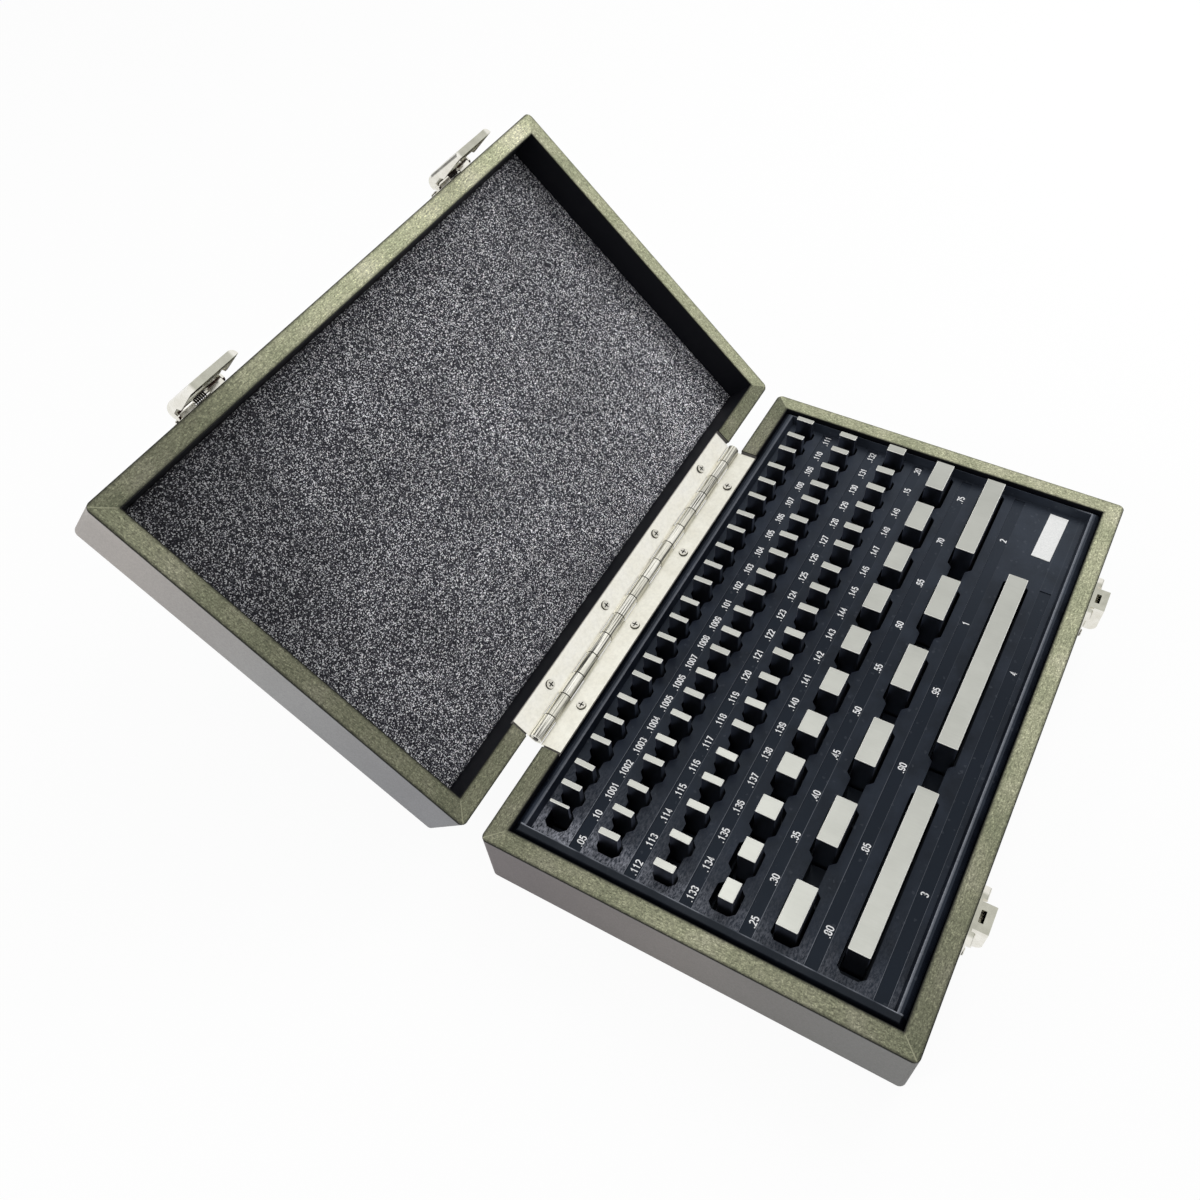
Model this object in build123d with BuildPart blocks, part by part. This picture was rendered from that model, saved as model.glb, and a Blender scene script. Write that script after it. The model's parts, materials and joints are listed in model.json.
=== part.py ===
from build123d import *
import os
from math import atan2, cos, degrees, radians, sin

# Gauge block case: a mitred wooden box with a moulded tray of gauge blocks and a hinged lid,
# standing open on a bench. Millimetres. The origin is on the bench under the middle of the
# base, X runs along the hinge, the latches are at -Y and the hinge is at +Y.
os.makedirs("parts", exist_ok=True)

# Rows of pockets, which set the length of the tray and of the case
row_span = 265.0
row_shift = 3.0
short_row_span = 212.7
recess_end_room = 7.3
tray_border = 4.15

# Case, outside sizes with the lid shut
case_width = 186.6
base_height = 34.0
lid_height = 31.8
board = 8.7
corner_radius = 3.0
rim_chamfer = 0.5
rim_gap = 0.3
panel = 3.0
panel_rebate = 4.0
panel_play = 0.1

# Long hinge let into both rims
lid_open = 137.8
hinge_offset = 4.05
hinge_length = 198.0
hinge_knuckles = 16
leaf = 1.0
leaf_drop = 1.2
leaf_play = 0.2
leaf_recess_play = 1.5
knuckle_radius = 2.9
knuckle_gap = 0.5
hinge_pin_radius = 1.2
pin_play = 0.04
hinge_screws = 4
hinge_screw_shank = 1.3
hinge_screw_length = 9.0
hinge_screw_head = 2.3
screw_head_rise = 1.0
screw_head_taper = 18.0
screw_play = 0.05
cross_share = 0.6
cross_width = 0.6
cross_depth = 0.7

# Foam in the lid
foam_thickness = 12.0
foam_play = 0.3

# Moulded tray
tray_play = 0.3
tray_rim_drop = 0.9
tray_face_drop = 5.6
tray_recess_width = 160.3
tray_recess_shift = 1.45
tray_draft = 14.0
tray_slope_width = 2.2
tray_slope_height = 2.5
tray_ridge_round = 0.5
trough_depth = 12.0
tray_wall = 1.6
strip_depth = 0.4
strip_width = 5.5
strip_inset = 0.6
strip_places = [58.3, 32.5, 7.4, -18.6, -46.0, -73.8]

# Gauge blocks, rectangular inch series
inch = 25.4
block_width = 9.0
short_block = 30.0
tall_block = 35.0
tall_from = 0.41
block_chamfer = 0.25
block_rise = 10.7
row_sizes = [
    [0.05, 0.1] + [0.1001 + 0.0001 * i for i in range(9)] + [0.101 + 0.001 * i for i in range(11)],
    [0.112 + 0.001 * i for i in range(21)],
    [0.133 + 0.001 * i for i in range(17)] + [0.15, 0.2],
    [0.25 + 0.05 * i for i in range(11)],
    [0.8, 0.85, 0.9, 0.95, 1, 2],
    [3, 4],
]
row_places = [70.5, 45.8, 19.8, -6.1, -32.7, -60.2]
row_start_rooms = [4.3, 2.9, 2.4, 3.1, 2.3, 6.2]
row_end_rooms = [2.8, 2.8, 2.0, 2.2, 3.0, 5.8]
row_leads = [2.3, 0, -1.3, 0, 0, 0]
thin_rows = 3
thin_lean = 1.6
thin_turn = 1.2
lean_step = 2.4
turn_step = 1.7
turned_blocks = 2
turned_shift = -1.2

# Pockets of the thin blocks and of the long ones: width at a block, width between blocks,
# room past a block's ends, width of the close-fitting lower part
thin_pocket = {"wide": 10.6, "narrow": 6.2, "room": 2.6, "slot": 10.0}
long_pocket = {"wide": 12.0, "narrow": 7.0, "room": 3.5, "slot": 10.4}
pocket_bevel = 2.3
slot_play = 1.5

# Label stuck on the tray
label_length = 30.6
label_width = 9.1
label_thickness = 0.3
label_end_room = 17.7
label_y = -66.2
label_turn = -1.9

# Latches: a sprung hasp on the lid that hooks under the hood of a keeper on the base
latch_place = 86.0
latch_width = 25.7
latch_sheet = 1.0
latch_drop = 0.6
latch_round = 1.2
keeper_height = 19.6
lug_width = 5.4
lug_radius = 1.3
lug_reach = 2.9
hood_width = 12.3
hood_reach = 7.2
hood_height = 15.4
hood_round = 4.0
window_length = 5.5
window_width = 2.1
window_inset = 1.9
plate_height = 12.4
ear_width = 7.7
ear_radius = 1.25
ear_reach = 3.05
ear_space = 7.9
latch_pin_radius = 0.7
plate_notch = 5.0
hasp_reach = 7.7
hasp_tip_reach = 4.7
hasp_top = 6.2
hasp_tip = 22.3
hasp_top_round = 4.1
hasp_side_round = 2.6
hasp_lip_reach = 1.8
hasp_boss = 1.5
hasp_play = 0.5
cheek_reach = 3.4
cheek_bend = 4.4
hook_width = 9.0
hook_play = 0.4
hook_slot_length = 5.3
hook_slot_width = 2.2
hook_bridge = 1.0
spring_wire = 0.25
spring_turns = 6
spring_pitch = 1.0
latch_screw_shank = 1.1
latch_screw_length = 6.5
latch_screw_head = 1.9
latch_screw_spread = 9.3
keeper_screw_rise = 3.6
plate_screw_drop = 2.75

# Values that follow
row_left = row_shift - row_span / 2
row_spans = [row_span] * (len(row_sizes) - 1) + [short_row_span]
tray_recess_length = row_span + recess_end_room
case_length = tray_recess_length + 2 * (tray_border + board)
inner_length = case_length - 2 * board
inner_width = case_width - 2 * board
half_length = case_length / 2
half_width = case_width / 2
front = -half_width
hinge_y = half_width + hinge_offset
hinge_z = base_height + rim_gap / 2
leaf_recess = leaf_drop + leaf
face_z = base_height - tray_face_drop
block_top = face_z + block_rise
tray_top = base_height - tray_rim_drop
screw_row_y = half_width - board / 2
keeper_top = base_height - latch_drop
keeper_bottom = keeper_top - keeper_height
latch_axis_reach = ear_reach - ear_radius
latch_axis_z = latch_drop + ear_radius
hood_bottom = keeper_top - hood_height - base_height - rim_gap

# The open lid has its own frame: X and Y as with the lid shut, Z from its rim to its top
lid_up = Vector(0, sin(radians(lid_open)), cos(radians(lid_open)))
lid_back = Vector(0, cos(radians(lid_open)), -sin(radians(lid_open)))
lid_origin = Vector(0, hinge_y, hinge_z) - lid_back * hinge_y + lid_up * (rim_gap / 2)
lid_rim = Plane(origin=lid_origin, x_dir=(1, 0, 0), z_dir=lid_up)


def side_view(frame, x):
    """Plane seen along the hinge at x: its X is the frame's Y, its Y is the frame's Z."""
    return Plane(origin=frame.from_local_coords(Vector(x, 0, 0)), x_dir=frame.y_dir, z_dir=frame.x_dir)


def latch_view(frame, x):
    """Section of a latch at x: its X runs outward from the front, its Y is the frame's Z."""
    origin = frame.from_local_coords(Vector(x, front, 0))
    return Plane(origin=origin, x_dir=frame.y_dir * -1, z_dir=frame.x_dir * -1)


def front_view(frame, x, reach):
    """Plane in front of the case by reach, looking outward: its Y is the frame's Z."""
    origin = frame.from_local_coords(Vector(x, front - reach, 0))
    return Plane(origin=origin, x_dir=frame.x_dir, z_dir=frame.y_dir * -1)


def keep(node, name):
    """Name a finished piece and write it."""
    node.part.label = name
    export_step(node.part, f"parts/{name}.step")


def pan_screws(seats, shank, length, head):
    """Group of cross-recessed pan head screws, each on a plane that looks out of its seat."""
    with BuildPart() as group:
        for seat in seats:
            with BuildSketch(seat):
                Circle(shank)
            extrude(amount=-length)
            with BuildSketch(seat):
                Circle(head)
            extrude(amount=screw_head_rise, taper=screw_head_taper)
            with BuildSketch(seat.offset(screw_head_rise)):
                Rectangle(2 * head * cross_share, cross_width)
                Rectangle(cross_width, 2 * head * cross_share)
            extrude(amount=-cross_depth, mode=Mode.SUBTRACT)
    return group


# Mitred frames of the base and of the lid: four boards each, with a rebate for the panel
front_sector = [
    (-half_length, -half_width),
    (half_length, -half_width),
    (half_length - half_width, 0),
    (half_width - half_length, 0),
]
left_sector = [(-half_length, -half_width), (half_width - half_length, 0), (-half_length, half_width)]
sectors = {
    "front": front_sector,
    "back": [(x, -y) for x, y in front_sector],
    "left": left_sector,
    "right": [(-x, y) for x, y in left_sector],
}


def on_outline(frame, level):
    """Choose the edges at one level that lie on the outside of the case."""

    def chosen(edge):
        point = frame.to_local_coords(edge.position_at(0.5))
        outside = half_length - abs(point.X) < corner_radius or half_width - abs(point.Y) < corner_radius
        return outside and abs(point.Z - level) < rim_chamfer

    return chosen


def frame_board(frame, side, height, panel_level):
    """One board: a rounded ring cut to its mitred sector, with the rebate of the panel."""
    with BuildPart() as piece:
        with BuildSketch(frame):
            RectangleRounded(case_length, case_width, corner_radius)
            Rectangle(inner_length, inner_width, mode=Mode.SUBTRACT)
            Polygon(*sectors[side], align=None, mode=Mode.INTERSECT)
        extrude(amount=height)
        for level in (0, height):
            chamfer(piece.edges().filter_by(on_outline(frame, level)), rim_chamfer)
        with BuildSketch(frame.offset(panel_level)):
            Rectangle(inner_length + 2 * panel_rebate, inner_width + 2 * panel_rebate)
        extrude(amount=panel, mode=Mode.SUBTRACT)
    return piece


hinge_screw_places = [hinge_length * ((i + 0.5) / hinge_screws - 0.5) for i in range(hinge_screws)]
latch_centres = {"left": -latch_place, "right": latch_place}
latch_screw_places = [
    centre + end * latch_screw_spread for centre in latch_centres.values() for end in (-1, 1)
]
halves = {
    "base": {
        "frame": Plane.XY,
        "height": base_height,
        "rim": base_height,
        "inward": -1,
        "panel": 0,
        "latch_screws": keeper_bottom + keeper_screw_rise,
    },
    "lid": {
        "frame": lid_rim,
        "height": lid_height,
        "rim": 0,
        "inward": 1,
        "panel": lid_height - panel,
        "latch_screws": latch_drop + plate_height - plate_screw_drop,
    },
}
panel_names = {"base": "base_bottom_panel", "lid": "lid_top_panel"}

for half_name, half in halves.items():
    frame = half["frame"]
    for side in ("left", "right"):
        keep(frame_board(frame, side, half["height"], half["panel"]), f"{half_name}_{side}_board")

    with BuildPart() as back_board:
        add(frame_board(frame, "back", half["height"], half["panel"]).part)
        with BuildSketch(frame.offset(half["rim"])):
            with Locations((0, screw_row_y)):
                Rectangle(hinge_length + 2 * leaf_recess_play, board + 2 * leaf_play)
        extrude(amount=half["inward"] * leaf_recess, mode=Mode.SUBTRACT)
        with BuildSketch(frame.offset(half["rim"])):
            with Locations([(x, screw_row_y) for x in hinge_screw_places]):
                Circle(hinge_screw_shank + screw_play)
        extrude(amount=half["inward"] * (leaf_drop + hinge_screw_length + screw_play), mode=Mode.SUBTRACT)
    keep(back_board, f"{half_name}_back_board")

    with BuildPart() as front_board:
        add(frame_board(frame, "front", half["height"], half["panel"]).part)
        with BuildSketch(front_view(frame, 0, 0)):
            with Locations([(x, half["latch_screws"]) for x in latch_screw_places]):
                Circle(latch_screw_shank + screw_play)
        extrude(amount=-latch_screw_length, mode=Mode.SUBTRACT)
    keep(front_board, f"{half_name}_front_board")

    with BuildPart() as panel_piece:
        with BuildSketch(frame.offset(half["panel"])):
            Rectangle(
                inner_length + 2 * panel_rebate - 2 * panel_play,
                inner_width + 2 * panel_rebate - 2 * panel_play,
            )
        extrude(amount=panel)
    keep(panel_piece, panel_names[half_name])

    hinge_seats = [
        Plane(
            origin=frame.from_local_coords(Vector(x, screw_row_y, half["rim"] + half["inward"] * leaf_drop)),
            x_dir=frame.x_dir,
            z_dir=frame.z_dir * -half["inward"],
        )
        for x in hinge_screw_places
    ]
    keep(
        pan_screws(hinge_seats, hinge_screw_shank, hinge_screw_length, hinge_screw_head),
        f"hinge_{half_name}_screws",
    )
    latch_seats = [
        front_view(frame, x, latch_sheet).shift_origin(
            frame.from_local_coords(Vector(x, front - latch_sheet, half["latch_screws"]))
        )
        for x in latch_screw_places
    ]
    keep(
        pan_screws(latch_seats, latch_screw_shank, latch_screw_length, latch_screw_head),
        f"latch_{half_name}_screws",
    )


# Foam pad glued inside the top of the lid
with BuildPart() as foam_pad:
    with BuildSketch(lid_rim.offset(lid_height - panel - foam_thickness)):
        Rectangle(inner_length - 2 * foam_play, inner_width - 2 * foam_play)
    extrude(amount=foam_thickness)
keep(foam_pad, "foam_pad")


# Long hinge: two leaves whose knuckles alternate on one pin
knuckle_edges = [hinge_length * (i / hinge_knuckles - 0.5) for i in range(hinge_knuckles + 1)]
knuckles = list(zip(knuckle_edges, knuckle_edges[1:]))


def hinge_leaf(frame, leaf_level, axis_level, own, other):
    """A leaf with its own knuckles, cut away round the other leaf's knuckles."""
    inner_edge = half_width - board + leaf_play
    with BuildPart() as piece:
        with BuildSketch(frame.offset(leaf_level)):
            with Locations((0, (inner_edge + hinge_y) / 2)):
                Rectangle(hinge_length, hinge_y - inner_edge)
        extrude(amount=leaf)
        for low, high in other:
            with BuildSketch(side_view(frame, low)):
                with Locations((hinge_y, axis_level)):
                    Circle(knuckle_radius + knuckle_gap)
            extrude(amount=high - low, mode=Mode.SUBTRACT)
        for low, high in own:
            with BuildSketch(side_view(frame, low + knuckle_gap / 2)):
                with Locations((hinge_y, axis_level)):
                    Circle(knuckle_radius)
            extrude(amount=high - low - knuckle_gap)
        with BuildSketch(side_view(frame, -hinge_length / 2)):
            with Locations((hinge_y, axis_level)):
                Circle(hinge_pin_radius + pin_play)
        extrude(amount=hinge_length, mode=Mode.SUBTRACT)
        with BuildSketch(frame.offset(leaf_level)):
            with Locations([(x, screw_row_y) for x in hinge_screw_places]):
                Circle(hinge_screw_shank + screw_play)
        extrude(amount=leaf, mode=Mode.SUBTRACT)
    return piece


base_leaf_level = base_height - leaf_recess
keep(hinge_leaf(Plane.XY, base_leaf_level, hinge_z, knuckles[1::2], knuckles[0::2]), "hinge_base_leaf")
keep(hinge_leaf(lid_rim, leaf_drop, -rim_gap / 2, knuckles[0::2], knuckles[1::2]), "hinge_lid_leaf")

with BuildPart() as hinge_pin:
    with BuildSketch(side_view(Plane.XY, -hinge_length / 2)):
        with Locations((hinge_y, hinge_z)):
            Circle(hinge_pin_radius)
    extrude(amount=hinge_length)
keep(hinge_pin, "hinge_pin")


# Rows of gauge blocks, described once for the tray's pockets and for the blocks
def row_centres(number):
    """Places along a row: equal gaps between its blocks, but for the first, which has its own lead."""
    sizes = row_sizes[number]
    room = row_spans[number] - row_start_rooms[number] - row_end_rooms[number]
    gap = (room - sum(sizes) * inch) / (len(sizes) - 1)
    centres = [row_left + row_start_rooms[number] + sizes[0] * inch / 2]
    for before, after in zip(sizes, sizes[1:]):
        centres.append(centres[-1] + (before + after) / 2 * inch + gap)
    centres[0] += row_leads[number]
    return centres


rows = []
for number, sizes in enumerate(row_sizes):
    pocket = thin_pocket if number < thin_rows else long_pocket
    row_right = row_left + row_spans[number]
    blocks = []
    for place, (size, x) in enumerate(zip(sizes, row_centres(number))):
        turned = number == thin_rows and place < turned_blocks
        height = tall_block if size > tall_from else short_block
        reach = size * inch / 2 + pocket["room"]
        low = row_left if place == 0 else x - reach
        high = row_right if place == len(sizes) - 1 else x + reach
        longest = size * inch if number < thin_rows else max(size * inch, block_width)
        blocks.append(
            {
                "size": size,
                "x": x,
                "turned": turned,
                "height": height,
                "floor": block_top - height,
                "low": low,
                "high": high,
                "slot": longest + slot_play,
            }
        )
    rows.append({"y": row_places[number], "right": row_right, "pocket": pocket, "blocks": blocks})

# Moulded tray: sunk face, six troughs with their pockets, shallow bands for the numbers
with BuildPart() as tray:
    with BuildSketch(Plane.XY.offset(panel)):
        Rectangle(inner_length - 2 * tray_play, inner_width - 2 * tray_play)
    extrude(amount=tray_top - tray_slope_height - panel)
    with BuildSketch(Plane.XY.offset(tray_top - tray_slope_height)):
        Rectangle(inner_length - 2 * tray_play, inner_width - 2 * tray_play)
    extrude(amount=tray_slope_height, taper=degrees(atan2(tray_slope_width, tray_slope_height)))
    fillet(tray.faces().sort_by(Axis.Z)[-1].edges(), tray_ridge_round)
    with BuildSketch(Plane.XY.offset(tray_top)):
        with Locations((tray_recess_shift, 0)):
            Rectangle(tray_recess_length, tray_recess_width)
    extrude(amount=face_z - tray_top, taper=tray_draft, mode=Mode.SUBTRACT)

    with BuildSketch(Plane.XY.offset(face_z)):
        for row in rows:
            wide = row["pocket"]["wide"] / 2
            narrow = row["pocket"]["narrow"] / 2
            with Locations(((row_left + row["right"]) / 2, row["y"])):
                Rectangle(row["right"] - row_left, 2 * narrow)
            for block in row["blocks"]:
                low, high, y = block["low"], block["high"], row["y"]
                upper = [(low, y + narrow), (low + pocket_bevel, y + wide)]
                upper += [(high - pocket_bevel, y + wide), (high, y + narrow)]
                lower = [(x, 2 * y - edge_y) for x, edge_y in reversed(upper)]
                Polygon(*upper, *lower, align=None)
    extrude(amount=-trough_depth, mode=Mode.SUBTRACT)

    for height in (short_block, tall_block):
        with BuildSketch(Plane.XY.offset(face_z - trough_depth)):
            for row in rows:
                for block in row["blocks"]:
                    if block["height"] == height:
                        with Locations((block["x"], row["y"])):
                            Rectangle(block["slot"], row["pocket"]["slot"])
        extrude(amount=block_top - height - face_z + trough_depth, mode=Mode.SUBTRACT)

    face_half = tray_recess_length / 2 - tray_rim_drop - strip_inset
    with BuildSketch(Plane.XY.offset(face_z)):
        for row, y in zip(rows, strip_places):
            left = tray_recess_shift - face_half
            right = min(tray_recess_shift + face_half, row["right"])
            with Locations(((left + right) / 2, y)):
                Rectangle(right - left, strip_width)
    extrude(amount=-strip_depth, mode=Mode.SUBTRACT)

    with BuildSketch(Plane.XY.offset(panel)):
        for upper_row, lower_row in zip(rows, rows[1:]):
            top = upper_row["y"] - upper_row["pocket"]["wide"] / 2 - tray_wall
            bottom = lower_row["y"] + lower_row["pocket"]["wide"] / 2 + tray_wall
            with Locations((tray_recess_shift, (top + bottom) / 2)):
                Rectangle(2 * face_half, top - bottom)
    extrude(amount=face_z - strip_depth - tray_wall - panel, mode=Mode.SUBTRACT)
keep(tray, "tray")

with BuildPart() as label_plate:
    with BuildSketch(Plane.XY.offset(face_z)):
        with Locations(Location((row_left + row_span - label_end_room, label_y, 0), (0, 0, label_turn))):
            Rectangle(label_length, label_width)
    extrude(amount=label_thickness)
keep(label_plate, "label_plate")


# Gauge blocks: the thin ones stand a little crooked, the two shortest long ones stand turned
for number, row in enumerate(rows[:thin_rows]):
    with BuildPart() as thin_row:
        for place, block in enumerate(row["blocks"]):
            length = block["size"] * inch
            lean = thin_lean * sin(lean_step * place + number)
            turn = thin_turn * cos(turn_step * place + number)
            lift = length / 2 * abs(sin(radians(lean)))
            seat = Plane((block["x"], row["y"], block["floor"] + lift)).rotated((0, lean, turn))
            with BuildSketch(seat):
                Rectangle(length, block_width)
            extrude(amount=block["height"])
        chamfer(thin_row.edges(), block_chamfer)
    keep(thin_row, f"blocks_row_{number + 1}")

for row in rows[thin_rows:]:
    for block in row["blocks"]:
        length = block["size"] * inch
        width = block_width
        y = row["y"]
        if block["turned"]:
            length, width = width, length
            y += turned_shift
        with BuildPart() as gauge_block:
            with BuildSketch(Plane((block["x"], y, block["floor"]))):
                Rectangle(length, width)
            extrude(amount=block["height"])
            chamfer(gauge_block.edges(), block_chamfer)
        keep(gauge_block, f"block_{round(block['size'] * 1000):04d}")


# Latches
def hasp_cap(section, inset):
    """Block of the hasp's outside, with rounded top and sides, or of its hollow when inset by the sheet."""
    half = latch_width / 2 - inset

    def on_side(edge):
        point = section.to_local_coords(edge.position_at(0.5))
        return point.X > hasp_tip_reach and abs(point.Z) > half - hasp_side_round / 2

    with BuildPart() as cap:
        with BuildSketch(section) as profile:
            Polygon(
                (0, inset - hasp_tip),
                (hasp_tip_reach - inset, inset - hasp_tip),
                (hasp_reach - inset, 0),
                (hasp_reach - inset, hasp_top - inset),
                (0, hasp_top - inset),
                align=None,
            )
            fillet(profile.vertices().group_by(Axis.X)[-1].sort_by(Axis.Y)[-1], hasp_top_round - inset)
        extrude(amount=half, both=True)
        fillet(cap.edges().filter_by(on_side), hasp_side_round - inset)
    return cap


for side, centre in latch_centres.items():
    section = latch_view(Plane.XY, centre)
    with BuildPart() as keeper:
        with BuildSketch(front_view(Plane.XY, centre, 0)):
            with Locations((0, keeper_bottom + keeper_height / 2)):
                RectangleRounded(latch_width, keeper_height, latch_round)
        extrude(amount=latch_sheet)
        for end in (-1, 1):
            with BuildSketch(latch_view(Plane.XY, centre + end * (latch_width - lug_width) / 2)):
                with Locations((lug_reach - lug_radius, keeper_top - lug_radius)):
                    Circle(lug_radius)
                with Locations(((lug_reach - lug_radius) / 2, keeper_top - lug_radius)):
                    Rectangle(lug_reach - lug_radius, 2 * lug_radius)
            extrude(amount=lug_width / 2, both=True)
        with BuildSketch(section) as hood:
            with Locations((hood_reach / 2, keeper_top - hood_height / 2)):
                Rectangle(hood_reach, hood_height)
            fillet(hood.vertices().group_by(Axis.X)[-1].sort_by(Axis.Y)[0], hood_round)
        extrude(amount=hood_width / 2, both=True)
        with BuildSketch(section) as hollow:
            with Locations((hood_reach / 2, keeper_top - hood_height / 2)):
                Rectangle(hood_reach - 2 * latch_sheet, hood_height - 2 * latch_sheet)
            fillet(hollow.vertices().group_by(Axis.X)[-1].sort_by(Axis.Y)[0], hood_round - latch_sheet)
        extrude(amount=hood_width / 2 - latch_sheet, both=True, mode=Mode.SUBTRACT)
        with BuildSketch(Plane.XY.offset(keeper_top)):
            with Locations((centre, front - window_inset - window_width / 2)):
                Rectangle(window_length, window_width)
        extrude(amount=-latch_sheet, mode=Mode.SUBTRACT)
        with BuildSketch(front_view(Plane.XY, centre, 0)):
            screw_row_z = keeper_bottom + keeper_screw_rise
            with Locations([(end * latch_screw_spread, screw_row_z) for end in (-1, 1)]):
                Circle(latch_screw_shank + screw_play)
        extrude(amount=latch_sheet, mode=Mode.SUBTRACT)
    keep(keeper, f"{side}_keeper")

    section = latch_view(lid_rim, centre)
    ear_places = [end * (ear_space + ear_width) / 2 for end in (-1, 1)]
    with BuildPart() as lid_plate:
        with BuildSketch(front_view(lid_rim, centre, 0)):
            with Locations((0, latch_drop + plate_height / 2)):
                RectangleRounded(latch_width, plate_height, latch_round)
            notch_width = latch_width - ear_space - 2 * ear_width
            with Locations([(end * latch_width / 2, latch_drop + plate_notch / 2) for end in (-1, 1)]):
                Rectangle(notch_width, plate_notch, mode=Mode.SUBTRACT)
            with Locations((0, latch_drop + plate_notch / 2)):
                Rectangle(ear_space, plate_notch, mode=Mode.SUBTRACT)
        extrude(amount=latch_sheet)
        for ear in ear_places:
            with BuildSketch(latch_view(lid_rim, centre + ear)):
                with Locations((latch_axis_reach, latch_axis_z)):
                    Circle(ear_radius)
                with Locations((latch_axis_reach / 2, latch_axis_z)):
                    Rectangle(latch_axis_reach, 2 * ear_radius)
            extrude(amount=ear_width / 2, both=True)
        with BuildSketch(section):
            with Locations((latch_axis_reach, latch_axis_z)):
                Circle(latch_pin_radius + pin_play)
        extrude(amount=latch_width / 2, both=True, mode=Mode.SUBTRACT)
        with BuildSketch(front_view(lid_rim, centre, 0)):
            screw_z = latch_drop + plate_height - plate_screw_drop
            with Locations([(end * latch_screw_spread, screw_z) for end in (-1, 1)]):
                Circle(latch_screw_shank + screw_play)
        extrude(amount=latch_sheet, mode=Mode.SUBTRACT)
    keep(lid_plate, f"{side}_lid_plate")

    with BuildPart() as latch_pin:
        with BuildSketch(section):
            with Locations((latch_axis_reach, latch_axis_z)):
                Circle(latch_pin_radius)
        extrude(amount=latch_width / 2, both=True)
    keep(latch_pin, f"{side}_latch_pin")

    hook_top = hood_bottom - hasp_play
    hook_start = latch_sheet + hook_play
    hasp_slope = (hasp_reach - hasp_tip_reach) / hasp_tip
    hook_end = hasp_reach + hasp_slope * hook_top - latch_sheet / 2
    with BuildPart() as hasp:
        add(hasp_cap(section, 0).part)
        add(hasp_cap(section, latch_sheet).part, mode=Mode.SUBTRACT)
        with BuildSketch(section):
            Polygon(
                (hasp_reach - hasp_top_round, hasp_top),
                (hasp_reach, hasp_top),
                (hasp_reach, -hasp_tip),
                (hasp_lip_reach, -hasp_tip),
                (hasp_lip_reach, -cheek_bend - cheek_reach + hasp_lip_reach),
                (cheek_reach, -cheek_bend),
                (cheek_reach, latch_axis_z - hasp_boss),
                (latch_axis_reach, latch_axis_z - hasp_boss),
                (latch_axis_reach, latch_axis_z + hasp_boss),
                align=None,
            )
            with Locations((latch_axis_reach, latch_axis_z)):
                Circle(hasp_boss)
        extrude(amount=latch_width / 2, both=True, mode=Mode.INTERSECT)
        with BuildSketch(front_view(lid_rim, centre, hasp_lip_reach)):
            with Locations((0, (hook_top - latch_drop + hasp_play) / 2)):
                Rectangle(hood_width + 2 * hasp_play, -hook_top - latch_drop + hasp_play)
        extrude(amount=hasp_reach, mode=Mode.SUBTRACT)
        with BuildSketch(lid_rim.offset(hook_top)):
            with Locations((centre, front - (hook_start + hook_end) / 2)):
                Rectangle(hook_width, hook_end - hook_start)
            with Locations((centre, front - hook_start - hook_bridge - hook_slot_width / 2)):
                Rectangle(hook_slot_length, hook_slot_width, mode=Mode.SUBTRACT)
        extrude(amount=-latch_sheet)
        with BuildSketch(section):
            with Locations((latch_axis_reach, latch_axis_z)):
                Circle(latch_pin_radius + pin_play)
        extrude(amount=latch_width / 2, both=True, mode=Mode.SUBTRACT)
    keep(hasp, f"{side}_hasp")

    coil_start = lid_rim.from_local_coords(
        Vector(centre - spring_turns * spring_pitch / 2, front - latch_axis_reach, latch_axis_z)
    )
    with BuildPart() as spring:
        with BuildLine() as coil:
            Helix(
                pitch=spring_pitch,
                height=spring_turns * spring_pitch,
                radius=latch_pin_radius + pin_play + spring_wire,
                center=coil_start,
                direction=lid_rim.x_dir,
            )
        with BuildSketch(Plane(origin=coil.line @ 0, z_dir=coil.line % 0)):
            Circle(spring_wire)
        sweep(path=coil.line, is_frenet=True)
    keep(spring, f"{side}_latch_spring")
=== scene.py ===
"""Gauge block case: a wooden box with a foam-lined lid, open over a tray of steel gauge blocks."""
import json
import math

import bpy
import numpy as np
from mathutils import Euler, Matrix, Vector


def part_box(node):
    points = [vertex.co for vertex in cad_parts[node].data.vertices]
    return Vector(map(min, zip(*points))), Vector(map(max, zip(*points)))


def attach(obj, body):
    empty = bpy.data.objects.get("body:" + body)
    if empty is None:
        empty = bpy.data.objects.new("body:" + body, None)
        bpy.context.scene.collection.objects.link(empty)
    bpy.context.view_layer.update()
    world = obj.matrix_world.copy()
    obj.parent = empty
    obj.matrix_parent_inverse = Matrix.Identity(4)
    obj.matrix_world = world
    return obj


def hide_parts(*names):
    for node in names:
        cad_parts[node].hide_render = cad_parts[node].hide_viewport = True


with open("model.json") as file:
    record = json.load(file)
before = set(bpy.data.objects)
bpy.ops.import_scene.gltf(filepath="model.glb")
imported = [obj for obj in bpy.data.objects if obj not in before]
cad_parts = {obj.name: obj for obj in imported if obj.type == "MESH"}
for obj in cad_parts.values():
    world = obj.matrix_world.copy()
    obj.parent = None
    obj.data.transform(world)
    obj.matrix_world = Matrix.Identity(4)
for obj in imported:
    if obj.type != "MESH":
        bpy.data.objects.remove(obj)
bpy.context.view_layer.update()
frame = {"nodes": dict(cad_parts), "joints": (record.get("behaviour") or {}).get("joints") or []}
nodes = frame["nodes"]

# The boards. Each half of the case is four mitred boards round a flush panel. The rims show the
# olive-stained wood, darker towards their edges; the outside is covered in thin grey
# leathercloth, and the inside is painted black.

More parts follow.
